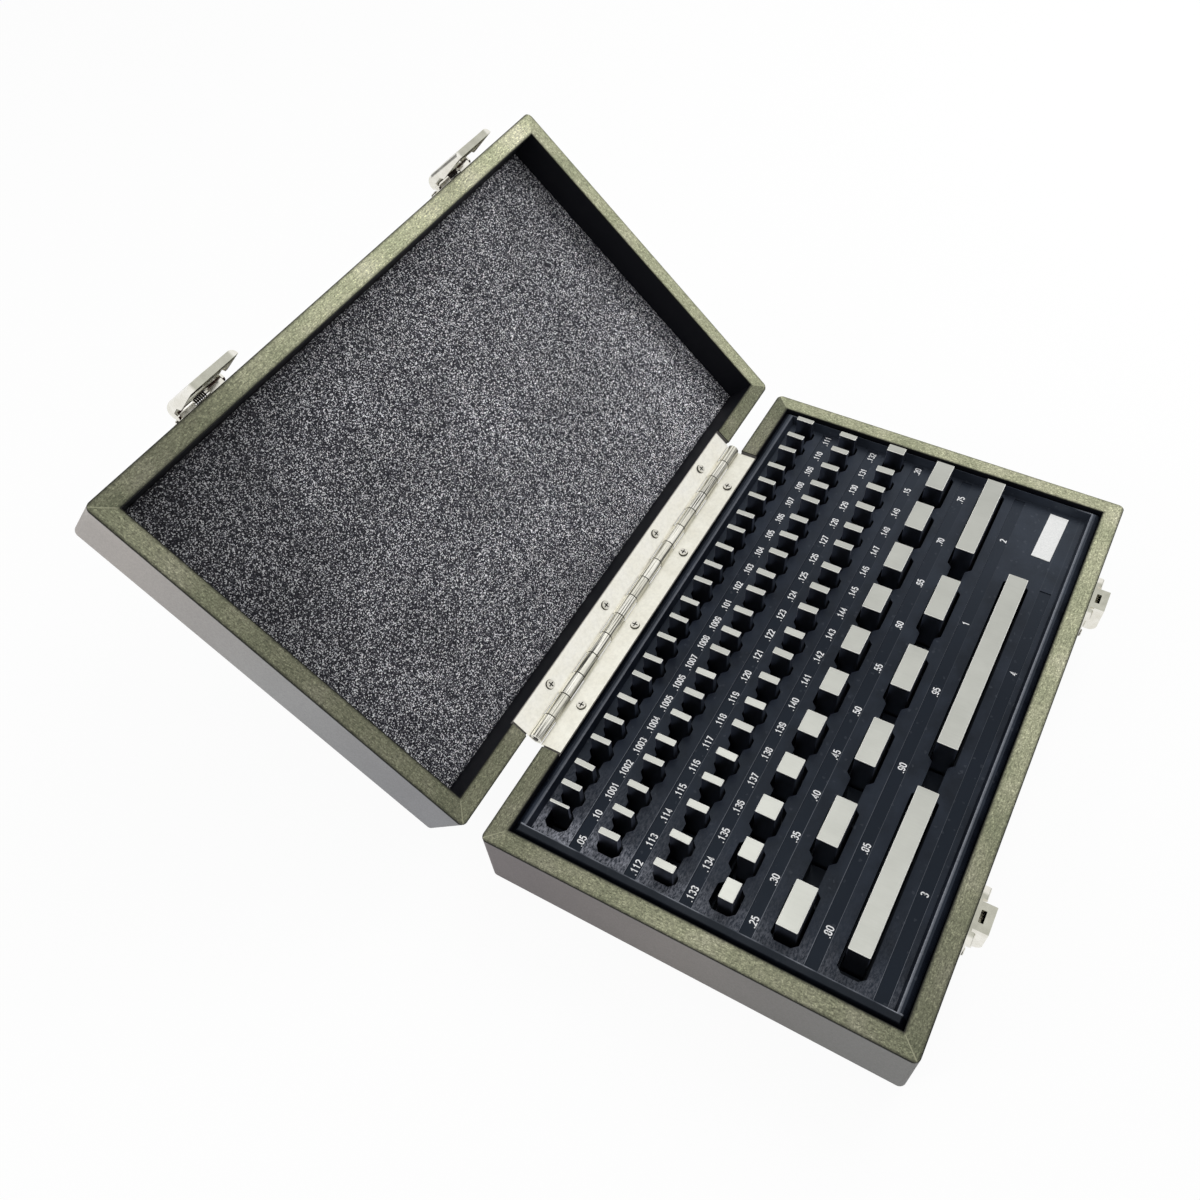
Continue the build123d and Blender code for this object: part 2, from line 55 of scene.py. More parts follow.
millimetre = 0.001
base_low, base_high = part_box("base_front_board")
lid_hinge = next(joint for joint in frame["joints"] if joint["name"] == "lid_hinge")
hinge_line = np.array(lid_hinge["pos_m"])
open_angle = -math.radians(lid_hinge["range_deg"][0])
lid_turn = np.array(Matrix.Rotation(-open_angle, 3, "X"))
case_half_x = (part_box("base_right_board")[1].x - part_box("base_left_board")[0].x) / 2
case_half_y = -base_low.y
rim_height = base_high.z
rim_gap = 2 * (hinge_line[2] - rim_height)
board_thickness = base_high.y - base_low.y
rim_skin = 0.35 * millimetre
joint_width = 0.35 * millimetre
edge_darkening = 1.5 * millimetre
corner_reach = 8 * millimetre
seam_width = 0.85 * millimetre
# Painted highlight: how far below the rim the pale line on the black inside lies, and its half width.
lining_highlight_level = 1.7 * millimetre
lining_highlight_play = 0.25 * millimetre
grain_relief = 0.05 * millimetre
tone_stops = (0.12, 0.5, 0.88)


def corner_points(node):
    """The corner points of a CAD node's mesh, as an array of rows."""
    corners = nodes[node].data.vertices
    points = np.empty(3 * len(corners))
    corners.foreach_get("co", points)
    return points.reshape(-1, 3)


def lid_points(x, y, z):
    """Places in the lid's own frame, Z from its rim to its top as when shut, as an array of
    points on the open lid: each is turned about the hinge line by the lid's opening."""
    shut = np.stack([x, y, z + rim_height + rim_gap], axis=-1).reshape(-1, 3)
    return (shut - hinge_line) @ lid_turn.T + hinge_line


def lid_box(node):
    """The low and high corners of one of the lid's CAD nodes, in the lid's own frame."""
    shut = (corner_points(node) - hinge_line) @ lid_turn + hinge_line
    own = shut - (0, 0, rim_height + rim_gap)
    return own.min(axis=0), own.max(axis=0)


def srgb(red, green, blue):
    """A colour given in the 0 to 255 numbers of a paint chart, as linear light."""
    share = np.array([red, green, blue]) / 255
    linear = np.where(share <= 0.04045, share / 12.92, ((share + 0.055) / 1.055) ** 2.4)
    return (*linear, 1.0)


def grey_level(value):
    """A grey as a colour, from a share of white light."""
    return value, value, value, 1.0


class Nodes:
    """A node tree, with one short call for each node and its links."""

    def __init__(self, tree):
        self.tree = tree

    def fill(self, socket, value):
        """Link a socket to another, or set its number or colour."""
        if isinstance(value, bpy.types.NodeSocket):
            self.tree.links.new(value, socket)
        else:
            socket.default_value = value

    def add(self, kind, **inputs):
        """A node of a kind; its inputs are values or other nodes' sockets, by name or place."""
        settings = inputs.pop("settings", {})
        node = self.tree.nodes.new("ShaderNode" + kind)
        for key, value in settings.items():
            setattr(node, key, value)
        for key, value in inputs.items():
            name = int(key[1:]) if key[0] == "_" else key.replace("_", " ")
            self.fill(node.inputs[name], value)
        return node

    def math(self, operation, first, second=0.0, third=0.0):
        """The result of one sum on one to three values."""
        settings = {"operation": operation}
        return self.add("Math", _0=first, _1=second, _2=third, settings=settings).outputs[0]

    def coordinates(self, kind):
        """One of the coordinates of what is drawn, such as Object or Normal."""
        if "Texture Coordinate" not in self.tree.nodes:
            self.add("TexCoord")
        return self.tree.nodes["Texture Coordinate"].outputs[kind]

    def place(self, scale=(1, 1, 1), shift=(0, 0, 0)):
        """Object coordinates, stretched and moved."""
        place = self.coordinates("Object")
        return self.add("Mapping", Vector=place, Location=shift, Scale=scale).outputs[0]

    def reach(self, vector, direction):
        """How far a vector reaches along a direction."""
        settings = {"operation": "DOT_PRODUCT"}
        return self.add("VectorMath", _0=vector, _1=direction, settings=settings).outputs["Value"]

    def along(self, direction):
        """How far each point lies along a direction."""
        return self.reach(self.place(), direction)

    def facing(self, direction):
        """How squarely the surface looks along a direction, from -1 to 1."""
        return self.reach(self.coordinates("Normal"), direction)

    def noise(self, place, scale, detail, roughness):
        """Cloudy noise, from 0 to 1."""
        noise = self.add("TexNoise", Vector=place, Scale=scale, Detail=detail, Roughness=roughness)
        return noise.outputs["Fac"]

    def grains(self, place, scale):
        """One random value, evenly from 0 to 1, for each small cell."""
        cells = self.add("TexVoronoi", Vector=place, Scale=scale)
        return self.add("SeparateColor", Color=cells.outputs["Color"]).outputs[0]

    def ramp(self, value, *stops):
        """Colours or greys along a value: each stop is (place, colour)."""
        ramp = self.add("ValToRGB", Fac=value)
        points = ramp.color_ramp.elements
        while len(points) < len(stops):
            points.new(1.0)
        for point, (place, colour) in zip(points, stops):
            point.position = place
            point.color = colour if hasattr(colour, "__len__") else grey_level(colour)
        return ramp.outputs["Color"]

    def mix(self, share, first, second, blend="MIX"):
        """Two colours mixed by a share."""
        mix = self.add("Mix", settings={"data_type": "RGBA", "blend_type": blend})
        for place, value in ((0, share), (6, first), (7, second)):
            self.fill(mix.inputs[place], value)
        return mix.outputs[2]

    def times(self, first, second):
        """Two colours multiplied."""
        return self.mix(1.0, first, second, "MULTIPLY")


class Finish(Nodes):
    """A material's nodes, added before the shader that the material starts with."""

    def __init__(self, name, roughness=0.5, metallic=0.0, specular=0.5):
        self.material = bpy.data.materials.new(name)
        self.material.use_nodes = True
        super().__init__(self.material.node_tree)
        self.shader = self.tree.nodes["Principled BSDF"]
        self.set(Roughness=roughness, Metallic=metallic, Specular_IOR_Level=specular)

    def bump(self, height, distance, strength):
        """Fine relief from a height, laid on the shader's normal."""
        bump = self.add("Bump", Height=height, Distance=distance, Strength=strength)
        self.set(Normal=bump.outputs[0])

    def set(self, **inputs):
        """Link or set the shader's own sockets."""
        for key, value in inputs.items():
            self.fill(self.shader.inputs[key.replace("_", " ")], value)


def dress(material, *names):
    """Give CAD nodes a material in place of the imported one."""
    for name in names:
        nodes[name].data.materials.clear()
        nodes[name].data.materials.append(material)


def across_case(finish, axes):
    """How far a point lies from the case's left to its right and from front to back, 0 to 1."""
    left_to_right = finish.math("MULTIPLY_ADD", axes[0], 0.5 / case_half_x, 0.5)
    front_to_back = finish.math("MULTIPLY_ADD", axes[1], 0.5 / case_half_y, 0.5)
    return left_to_right, front_to_back


def stained_rim(wood, own, to_side, to_end, painted_shading):
    """The rim's colour and its fibre. Fine short fibres run round the frame: noise stretched
    along X on the front and back boards and along Y on the two sides, with small pale and dark
    pores over slow clouds of stain. The mitres show as pale lines."""
    axes = wood.add("SeparateXYZ", Vector=own).outputs
    on_side = wood.math("LESS_THAN", to_side, to_end)
    stretched_x = wood.add("Mapping", Vector=own, Scale=(500, 1500, 1500)).outputs[0]
    stretched_y = wood.add("Mapping", Vector=own, Scale=(1500, 500, 1500)).outputs[0]
    fibre_x = wood.noise(stretched_x, 1.0, 3, 0.7)
    fibre_y = wood.noise(stretched_y, 1.0, 3, 0.7)
    fibre = wood.mix(on_side, fibre_x, fibre_y)
    cloud = wood.noise(own, 42, 4, 0.6)
    olive = wood.ramp(cloud, (0.3, srgb(157, 161, 131)), (0.52, srgb(180, 181, 151)),
                      (0.72, srgb(199, 197, 171)))
    rim = wood.times(olive, wood.ramp(fibre, (0.3, 0.42), (0.5, 0.95), (0.68, 1.3)))
    pores = wood.grains(own, 2000)
    rim = wood.times(rim, wood.ramp(pores, (0.0, 0.72), (0.8, 1.05), (0.97, 1.45)))
    # Painted light and shade: each board's rim is made lighter or darker by where it lies in the case.
    left_to_right, front_to_back = across_case(wood, axes)
    at_back = wood.math("GREATER_THAN", axes[1], 0.0)
    at_right = wood.math("GREATER_THAN", axes[0], 0.0)
    long_shading = wood.ramp(left_to_right, *zip(tone_stops, painted_shading["front"]))
    long_shading = wood.mix(at_back, long_shading, grey_level(painted_shading["back"]))
    side_shading = wood.ramp(front_to_back, *zip(tone_stops, painted_shading["left"]))
    side_shading = wood.mix(at_right, side_shading, grey_level(painted_shading["right"]))
    rim = wood.times(rim, wood.mix(on_side, long_shading, side_shading))
    from_mitre = wood.math("ABSOLUTE", wood.math("SUBTRACT", to_side, to_end))
    joint = wood.math("LESS_THAN", from_mitre, joint_width)
    rim = wood.mix(wood.math("MULTIPLY", joint, 0.5), rim, srgb(178, 178, 150))
    # The rim gets darker towards both its edges, close to black at the edge itself.
    from_outside = wood.math("MINIMUM", to_side, to_end)
    from_inside = wood.math("SUBTRACT", board_thickness, from_outside)
    edge = wood.math("DIVIDE", wood.math("MINIMUM", from_outside, from_inside), edge_darkening)
    rim = wood.times(rim, wood.ramp(edge, (0.12, 0.03), (0.36, 0.45), (0.95, 1.0)))
    return rim, fibre


def covered_walls(wood, own, from_outside, from_rim, half_depth, painted_shading, front_highlight):
    """The colour of all but the rim, and the cover's grain: grey leathercloth outside, black
    paint inside, a pale painted highlight at the liner's edge near the front rim and a dark line
    along the rims. The cover has painted light and shade of its own near the left end, and one
    common tone past corner_reach."""
    axes = wood.add("SeparateXYZ", Vector=own).outputs
    front_to_back = across_case(wood, axes)[1]
    shade = wood.noise(own, 9, 3, 0.5)
    grey = wood.ramp(shade, (0.35, srgb(166, 161, 157)), (0.65, srgb(182, 177, 173)))
    pebbles = wood.noise(own, 1500, 3, 0.6)
    grey = wood.times(grey, wood.ramp(pebbles, (0.3, 0.86), (0.7, 1.1)))
    # Painted light and shade: near the left end the cover is made lighter or darker from front to
    # back, and past the corner it takes one common tone.
    past_corner = wood.math("DIVIDE", wood.math("ADD", axes[0], case_half_x), corner_reach)
    left_cover_shading = wood.ramp(front_to_back, *zip(tone_stops, painted_shading["cover"]))
    common_cover = (0.5, 0.505, 0.515, 1.0)
    grey = wood.times(grey, wood.mix(past_corner, left_cover_shading, common_cover))
    black = srgb(9, 10, 17)
    inside = wood.math("GREATER_THAN", from_outside, board_thickness - 0.1 * millimetre)
    in_panel = wood.math("LESS_THAN", from_rim, half_depth - 0.5 * millimetre)
    inside = wood.math("MULTIPLY", inside, in_panel)
    # Painted highlight: a pale line on the black inside, a little below the rim along the front board,
    # where a liner's edge would catch the light.
    lining_highlight = wood.math("COMPARE", from_rim, lining_highlight_level, lining_highlight_play)
    in_front = wood.math("LESS_THAN", axes[1], board_thickness - case_half_y + 0.2 * millimetre)
    lining_highlight = wood.math("MULTIPLY", wood.math("MULTIPLY", lining_highlight, in_front), front_highlight)
    walls = wood.mix(inside, grey, wood.mix(lining_highlight, black, srgb(150, 152, 136)))
    seam = wood.math("LESS_THAN", from_rim, seam_width)
    return wood.mix(wood.math("MULTIPLY", seam, 0.9), walls, srgb(16, 17, 18)), pebbles


def case_boards(name, turn, origin, rim_level, half_depth, painted_shading, front_highlight):
    """Stained rim, covered outside and black inside, told apart by place in the half's own frame.

    turn and origin bring Object coordinates into that frame, in which the rim is at rim_level,
    the panel's outer face half_depth from it and the outside at the case's half sizes. Each given
    tone scales a part with painted light and shade: the front board's rim from left to right, the
    left board's from front to back, the back and right boards' rims, and the cover of the left end
    from front to back. The last argument is how bright the painted highlight at the liner's edge
    is in front."""
    wood = Finish(name, roughness=0.6, specular=0.25)
    moved = wood.place(shift=[-value for value in origin])
    settings = {"rotation_type": "X_AXIS"}
    own = wood.add("VectorRotate", Vector=moved, Angle=turn, settings=settings).outputs[0]
    axes = wood.add("SeparateXYZ", Vector=own).outputs
    from_rim = wood.math("ABSOLUTE", wood.math("SUBTRACT", axes[2], rim_level))
    to_side = wood.math("SUBTRACT", case_half_x, wood.math("ABSOLUTE", axes[0]))
    to_end = wood.math("SUBTRACT", case_half_y, wood.math("ABSOLUTE", axes[1]))
    from_outside = wood.math("MINIMUM", to_side, to_end)
    rim, fibre = stained_rim(wood, own, to_side, to_end, painted_shading)
    walls = covered_walls(wood, own, from_outside, from_rim, half_depth, painted_shading, front_highlight)
    on_rim = wood.math("LESS_THAN", from_rim, rim_skin)
    wood.set(Base_Color=wood.mix(on_rim, walls[0], rim))
    wood.bump(wood.mix(on_rim, walls[1], fibre), grain_relief, 0.6)
    return wood.material


# Painted light and shade for each half: each tone makes a part of its rims, or the cover at its left
# end, lighter or darker.
base_painted_shading = {
    "front": (0.43, 0.92, 1.04),
    "left": (0.5, 0.77, 0.5),
    "back": 0.44,
    "right": 0.97,
    "cover": ((0.516, 0.547, 0.56, 1.0), (0.478, 0.471, 0.471, 1.0), (0.363, 0.347, 0.367, 1.0)),
}
lid_painted_shading = {
    "front": (0.49, 1.32, 1.38),
    "left": (0.64, 0.41, 0.43),
    "back": 0.5,
    "right": 1.0,
    "cover": ((1.0, 1.0, 1.0, 1.0), (0.72, 0.765, 0.805, 1.0), (0.56, 0.6, 0.66, 1.0)),
}
lid_origin = lid_points(0, 0, 0)[0]
lid_depth = lid_box("lid_top_panel")[1][2]
base_cover = case_boards("base_boards", 0.0, (0, 0, 0), rim_height, rim_height, base_painted_shading, 0.0)
lid_cover = case_boards("lid_boards", open_angle, lid_origin, 0.0, lid_depth, lid_painted_shading, 0.5)
dress(base_cover, "base_bottom_panel")
dress(lid_cover, "lid_top_panel")
for side in ("front", "back", "left", "right"):
    dress(base_cover, f"base_{side}_board")
    dress(lid_cover, f"lid_{side}_board")

# The foam pad. A sheet of open grey foam, cut to the lid's inside and glued to its top. Its
# cut face sparkles where cell walls catch the light, and painted light and shade make it darker
# towards the front left and lighter towards the hinge and the right end.

foam_low, foam_high = lid_box("foam_pad")
foam_half_x, foam_half_y = foam_high[:2]
foam_face, foam_back = foam_low[2], foam_high[2]
rounding = 2 * millimetre
droop = 0.6 * millimetre
wave_middle = 0.25 * millimetre
wave = 0.12 * millimetre


def mesh_piece(name, points, faces, material, body):
    """A mesh object at the origin from points and faces, dressed and riding on a body."""
    mesh = bpy.data.meshes.new(name)
    mesh.from_pydata(points.tolist(), [], faces)
    mesh.update()
    piece = bpy.data.objects.new(name, mesh)
    bpy.context.scene.collection.objects.link(piece)
    mesh.materials.append(material)
    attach(piece, body)
    return piece


def foam_block(count_x, count_y):
    """The sheet as points and faces, from a grid of count_x by count_y places on its cut face.

    With e the distance to the nearest edge over the rounding, from 0 to 1, the face drops at
    its edge by droop times (1 - e) squared. Further in it lies lower by wave_middle and by two
    sine waves, one along each side, whose phase sways with a sine of the other side. The sides
    run straight from the face's rim to the flat back."""
    u = np.linspace(-1, 1, count_x)[:, None] * np.ones(count_y)
    v = np.linspace(-1, 1, count_y)[None, :] * np.ones((count_x, 1))
    x, y = foam_half_x * u, foam_half_y * v
    edge = np.minimum(foam_half_x - np.abs(x), foam_half_y - np.abs(y)) / rounding
    rounded = droop * (1 - np.clip(edge, 0, 1)) ** 2
    waves = wave * (np.sin(61 * x + 7 * np.sin(23 * y)) + np.sin(53 * y + 5 * np.sin(31 * x)))
    lower = rounded + np.where(edge > 1, wave_middle + waves, 0.0)
    front = lid_points(x, y, foam_face + lower)

    index = np.arange(count_x * count_y).reshape(count_x, count_y)
    quads = [index[:-1, :-1], index[:-1, 1:], index[1:, 1:], index[1:, :-1]]
    quads = np.stack(quads, axis=-1).reshape(-1, 4)
    ring = np.concatenate([index[:-1, 0], index[-1, :-1], index[:0:-1, -1], index[0, :0:-1]])
    back = lid_points(x.ravel()[ring], y.ravel()[ring], np.full(ring.shape, foam_back))
    back_ring = len(front) + np.arange(ring.size)
    sides = np.stack([back_ring, np.roll(back_ring, -1), np.roll(ring, -1), ring], axis=-1)
    faces = quads.tolist() + sides.tolist() + [back_ring[::-1].tolist()]
    return np.vstack([front, back]), faces


foam = Finish("open_foam", roughness=0.9, specular=0.2)
place = foam.place()
sparkle = foam.grains(place, 2550)
tone = foam.ramp(sparkle, (0.1, srgb(32, 32, 38)), (0.6, srgb(64, 64, 71)),
                 (0.78, srgb(110, 110, 116)), (0.85, srgb(200, 201, 208)),
                 (0.9, srgb(252, 253, 255)))
towards_hinge = lid_turn @ (0, 1, 0)
# Painted light and shade: the pad darkens towards its front left corner and brightens towards the
# hinge and the right end.
slope = 2.4 * (towards_hinge + (1, 0, 0))
shade_slant = foam.math("ADD", foam.along(slope), 0.5 - lid_points(0, 0, foam_face)[0] @ slope)
tone = foam.times(tone, foam.ramp(shade_slant, (0.1, 0.54), (0.35, 0.93), (0.65, 1.0), (1.0, 1.3)))
cloud = foam.noise(place, 24, 3, 0.6)
tone = foam.times(tone, foam.ramp(cloud, (0.3, 0.8), (0.7, 1.15)))
foam.set(Base_Color=tone)
foam.bump(sparkle, 0.2 * millimetre, 0.5)
foam_points, foam_faces = foam_block(count_x=170, count_y=104)
foam_sheet = mesh_piece("foam_sheet", foam_points, foam_faces, foam.material, "lid")
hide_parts("foam_pad")

# The long hinge. Two stamped leaves with rolled knuckles on one pin, nickel plated to a warm
# satin and let into the back rims, with four cross-headed screws in each leaf.

knuckle_reach = 3.1 * millimetre
lid_rim_out = lid_turn @ (0, 0, -1)


def leaf_metal(node, dull, clean):
    """Satin nickel between two colours, with dark lengthwise streaks along the rolled knuckles."""
    plate = Finish(node + "_metal", metallic=0.9)
    place = plate.place()
    wear = plate.noise(place, 120, 4, 0.6)
    blotch = plate.noise(place, 620, 3, 0.6)
    colour = plate.ramp(wear, (0.3, dull), (0.7, clean))
    colour = plate.times(colour, plate.ramp(blotch, (0.35, 0.92), (0.6, 1.0)))
    off_pin = plate.place(scale=(0, 1, 1), shift=(0, -hinge_line[1], -hinge_line[2]))
    settings = {"operation": "LENGTH"}
    from_pin = plate.add("VectorMath", _0=off_pin, settings=settings).outputs["Value"]
    rolled = plate.math("LESS_THAN", from_pin, knuckle_reach)
    streak_noise = plate.noise(plate.place(scale=(25, 1500, 1500)), 1.0, 2, 0.6)
    streaks = plate.ramp(streak_noise, (0.36, 0.06), (0.46, 0.75), (0.55, 1.0))
    colour = plate.mix(rolled, colour, plate.times(colour, streaks))
    plate.set(Base_Color=colour, Roughness=plate.math("MULTIPLY_ADD", wear, 0.16, 0.24))
    plate.bump(blotch, 0.01 * millimetre, 0.4)
    dress(plate.material, node)


# Painted light: the lid leaf is painted lighter than the base leaf, though both carry the same
# plating.
leaf_metal("hinge_base_leaf", srgb(228, 225, 211), srgb(239, 237, 225))
leaf_metal("hinge_lid_leaf", srgb(247, 244, 231), srgb(254, 252, 243))
pin = Finish("pin_steel", roughness=0.4, metallic=1.0)
pin_wear = pin.noise(pin.place(), 500, 2, 0.5)
pin.set(Base_Color=pin.ramp(pin_wear, (0.3, srgb(40, 38, 34)), (0.7, srgb(66, 63, 57))))
dress(pin.material, "hinge_pin")


def screw_metal(node, outward):
    """Nickel on the tops of a group of screw heads, with painted shade in the recess and round the
    rim.
    """
    top = float((corner_points(node) @ outward).max())
    screw = Finish(node + "_metal", roughness=0.3, metallic=0.8)
    below = screw.math("SUBTRACT", top, screw.along(outward))
    recess_shade = screw.ramp(screw.math("DIVIDE", below, millimetre), (0.3, 1.0), (0.42, 0.05))
    turning = screw.noise(screw.place(), 900, 2, 0.5)
    nickel = screw.ramp(turning, (0.3, srgb(206, 203, 192)), (0.7, srgb(232, 229, 219)))
    screw.set(Base_Color=screw.times(nickel, recess_shade))
    dress(screw.material, node)


screw_metal("hinge_base_screws", (0, 0, 1))
screw_metal("hinge_lid_screws", lid_rim_out)
screw_metal("latch_base_screws", (0, -1, 0))
screw_metal("latch_lid_screws", lid_turn @ (0, -1, 0))

# The tray. One black moulding with a sloping border and six troughs whose pockets hold the
# blocks, beside six shallow bands for the numbers. It is finely grained and a little dusty.

tray = Finish("black_moulding", specular=0.22)
place = tray.place()
axes = tray.add("SeparateXYZ", Vector=place).outputs
height = axes[2]
face_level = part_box("label_plate")[0].z
band_depth = 0.4 * millimetre
band_level = face_level - band_depth
level_play = 0.1 * millimetre
glint_width = 0.2 * millimetre
grain = tray.noise(place, 1000, 3, 0.65)
haze = tray.noise(place, 55, 5, 0.65)
skin = tray.ramp(haze, (0.35, srgb(14, 17, 25)), (0.68, srgb(34, 39, 49)))
band = tray.math("COMPARE", height, band_level, level_play)
skin = tray.mix(band, skin, srgb(9, 15, 26))
dust = tray.grains(place, 900)
skin = tray.mix(tray.ramp(dust, (0.985, 0.0), (0.99, 0.12)), skin, srgb(110, 114, 122))
# Painted shade: the pockets sunk below the face are painted near black.
pocket_shade = tray.math("LESS_THAN", height, face_level - 3 * band_depth)
skin = tray.mix(pocket_shade, skin, srgb(4, 5, 10))
tray_points = corner_points("tray")
in_band = np.abs(tray_points[:, 2] - band_level) < level_play / 2
band_edges = np.unique(np.round(tray_points[in_band, 1] / millimetre, 1)) * millimetre
# Painted highlights: thin light lines on the flat face along the edges of the bands, brightest towards
# the left end.
nearest = 1.0
for edge in band_edges:
    from_edge = tray.math("ABSOLUTE", tray.math("SUBTRACT", axes[1], float(edge)))
    nearest = tray.math("MINIMUM", nearest, from_edge)
on_flat = tray.math("COMPARE", height, face_level, level_play)
band_edge_glint = tray.math("MULTIPLY", tray.math("LESS_THAN", nearest, glint_width), on_flat)
left_to_right, front_to_back = across_case(tray, axes)
band_edge_glint = tray.math("MULTIPLY", band_edge_glint, tray.ramp(left_to_right, (0.05, 0.55), (0.4, 0.2), (0.8, 0.05)))
skin = tray.mix(band_edge_glint, skin, srgb(138, 142, 150))

# The ridge of the border is painted with a grey highlight along the front, the back and the left
# end, and at the left end the slope beyond it is painted dark as shade. beyond_y and beyond_x
# tell how many millimetres a point lies outside the ridge of the long borders and of the left
# one, slope_start where the painted shade begins.
slope_start = 0.4
tray_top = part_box("tray")[1].z
ridge = tray_points[tray_points[:, 2] > tray_top - 0.01 * millimetre]
ridge_y = float(np.abs(ridge[:, 1]).min())
ridge_x = float(ridge[ridge[:, 0] < 0, 0].max())
beyond_y = tray.math("SUBTRACT", tray.math("ABSOLUTE", axes[1]), ridge_y)
beyond_y = tray.math("DIVIDE", beyond_y, millimetre)
beyond_x = tray.math("DIVIDE", tray.math("SUBTRACT", ridge_x, axes[0]), millimetre)
ridge_highlight = tray.ramp(beyond_y, (0.0, 1.0), (0.35, 0.5), (0.9, 0.25), (1.0, 0.0))
long_sides = tray.ramp(front_to_back, (0.05, 0.75), (0.12, 0.0), (0.88, 0.0), (0.95, 0.42))
ridge_highlight = tray.math("MULTIPLY", ridge_highlight, long_sides)
ridge_highlight = tray.math("MULTIPLY", ridge_highlight, tray.math("LESS_THAN", beyond_x, slope_start))
line = tray.ramp(beyond_x, (0.0, 0.8), (0.35, 0.7), (0.45, 0.06), (1.0, 0.02))
patches = tray.noise(place, 60, 3, 0.6)
line = tray.math("MULTIPLY", line, tray.ramp(patches, (0.4, 0.18), (0.62, 1.0)))
line = tray.math("MULTIPLY", line, tray.ramp(front_to_back, (0.1, 0.45), (0.7, 0.5), (0.9, 1.0)))
line = tray.math("MULTIPLY", line, tray.math("GREATER_THAN", beyond_x, -0.3))
ridge_highlight = tray.math("MAXIMUM", ridge_highlight, line)
ridge_highlight = tray.math("MULTIPLY", ridge_highlight, tray.ramp(grain, (0.3, 0.6), (0.6, 1.0)))
on_border = tray.math("GREATER_THAN", height, face_level + 2 * level_play)
past_ridge = tray.math("GREATER_THAN", beyond_x, slope_start)
left_slope_shade = tray.math("MULTIPLY", on_border, past_ridge)
# Painted shade on the slope beyond the left ridge.
skin = tray.mix(tray.math("MULTIPLY", left_slope_shade, 0.8), skin, srgb(2, 3, 7))
on_ridge = tray.math("GREATER_THAN", height, tray_top - 0.5 * millimetre)
skin = tray.mix(tray.math("MULTIPLY", on_ridge, ridge_highlight), skin, srgb(196, 200, 210))

# Painted reflections: a bright streaky sheen on the face beside the left end, and a grey sheen over
# the right end.
sheen_streaks = tray.noise(tray.place(scale=(500, 1100, 700)), 1.0, 6, 0.8)
left_sheen = tray.ramp(sheen_streaks, (0.42, 0.0), (0.6, 1.0))
near_left = tray.ramp(left_to_right, (0.06, 0.75), (0.1, 0.14), (0.2, 0.0))
near_back = tray.ramp(front_to_back, (0.3, 0.2), (0.6, 0.45), (0.85, 1.0))
left_sheen = tray.math("MULTIPLY", tray.math("MULTIPLY", left_sheen, near_left), near_back)
skin = tray.mix(tray.math("MULTIPLY", on_flat, left_sheen), skin, srgb(205, 207, 218))
on_face = tray.math("GREATER_THAN", height, band_level - level_play)
right_end_sheen = tray.math("MULTIPLY", on_face, tray.ramp(left_to_right, (0.55, 0.0), (1.0, 0.3)))
skin = tray.mix(right_end_sheen, skin, srgb(74, 80, 90))
tray.set(Base_Color=skin)
tray.set(Roughness=tray.math("MULTIPLY_ADD", haze, 0.3, 0.2), Specular_Tint=(0.75, 0.87, 1.0, 1.0))
tray.bump(grain, grain_relief, 0.8)
dress(tray.material, "tray")

# The numbers. White figures printed on the bands, tops towards the hinge, each beside the
# block whose length in inches it gives. Each mark is X and Y in millimetres and a text, and each
# band of a thin row is its Y, its first X, the step to the next mark and the texts.

first_band = [".10"] + [f".100{n}" for n in range(1, 10)] + [f".{n}" for n in range(101, 112)]
thin_bands = [
    (57.6, -115.3, 12.38, first_band),
    (32.0, -128.0, 12.97, [f".{n}" for n in range(112, 133)]),
    (7.0, -127.4, 14.2, [f".{n}" for n in range(133, 150)]),
]
size_marks = [(-128.3, 57.6, ".05")]
for y, start, step, texts in thin_bands:
    size_marks += [(start + step * n, y, text) for n, text in enumerate(texts)]
size_marks += [(116.4, 7.0, ".15"), (132.3, 7.0, ".20")]
fourth_band = (-126.4, -106.8, -86.0, -65.0, -43.0, -18.5, 7.2, 34.2, 62.5, 91.7, 123.0)
size_marks += [(x, -19.3, f".{25 + 5 * n}") for n, x in enumerate(fourth_band)]
size_marks += [(-116.5, -46.5, ".80"), (-77.6, -46.5, ".85"), (-36.1, -46.5, ".90")]
size_marks += [(6.8, -46.5, ".95"), (49.1, -46.5, "1"), (106.0, -46.5, "2")]
size_marks += [(-85.3, -74.0, "3"), (31.8, -74.0, "4")]


def arc(centre, height, start, end):
    """Points along an upright ellipse, 1 wide, from one angle to another in degrees: half its
    width times the cosine across, and half its height times the sine above its centre."""
    angle = np.radians(np.linspace(start, end, 2 + int(abs(end - start) / 20)))
    return np.stack([0.5 * np.cos(angle), centre + height / 2 * np.sin(angle)], axis=1).tolist()


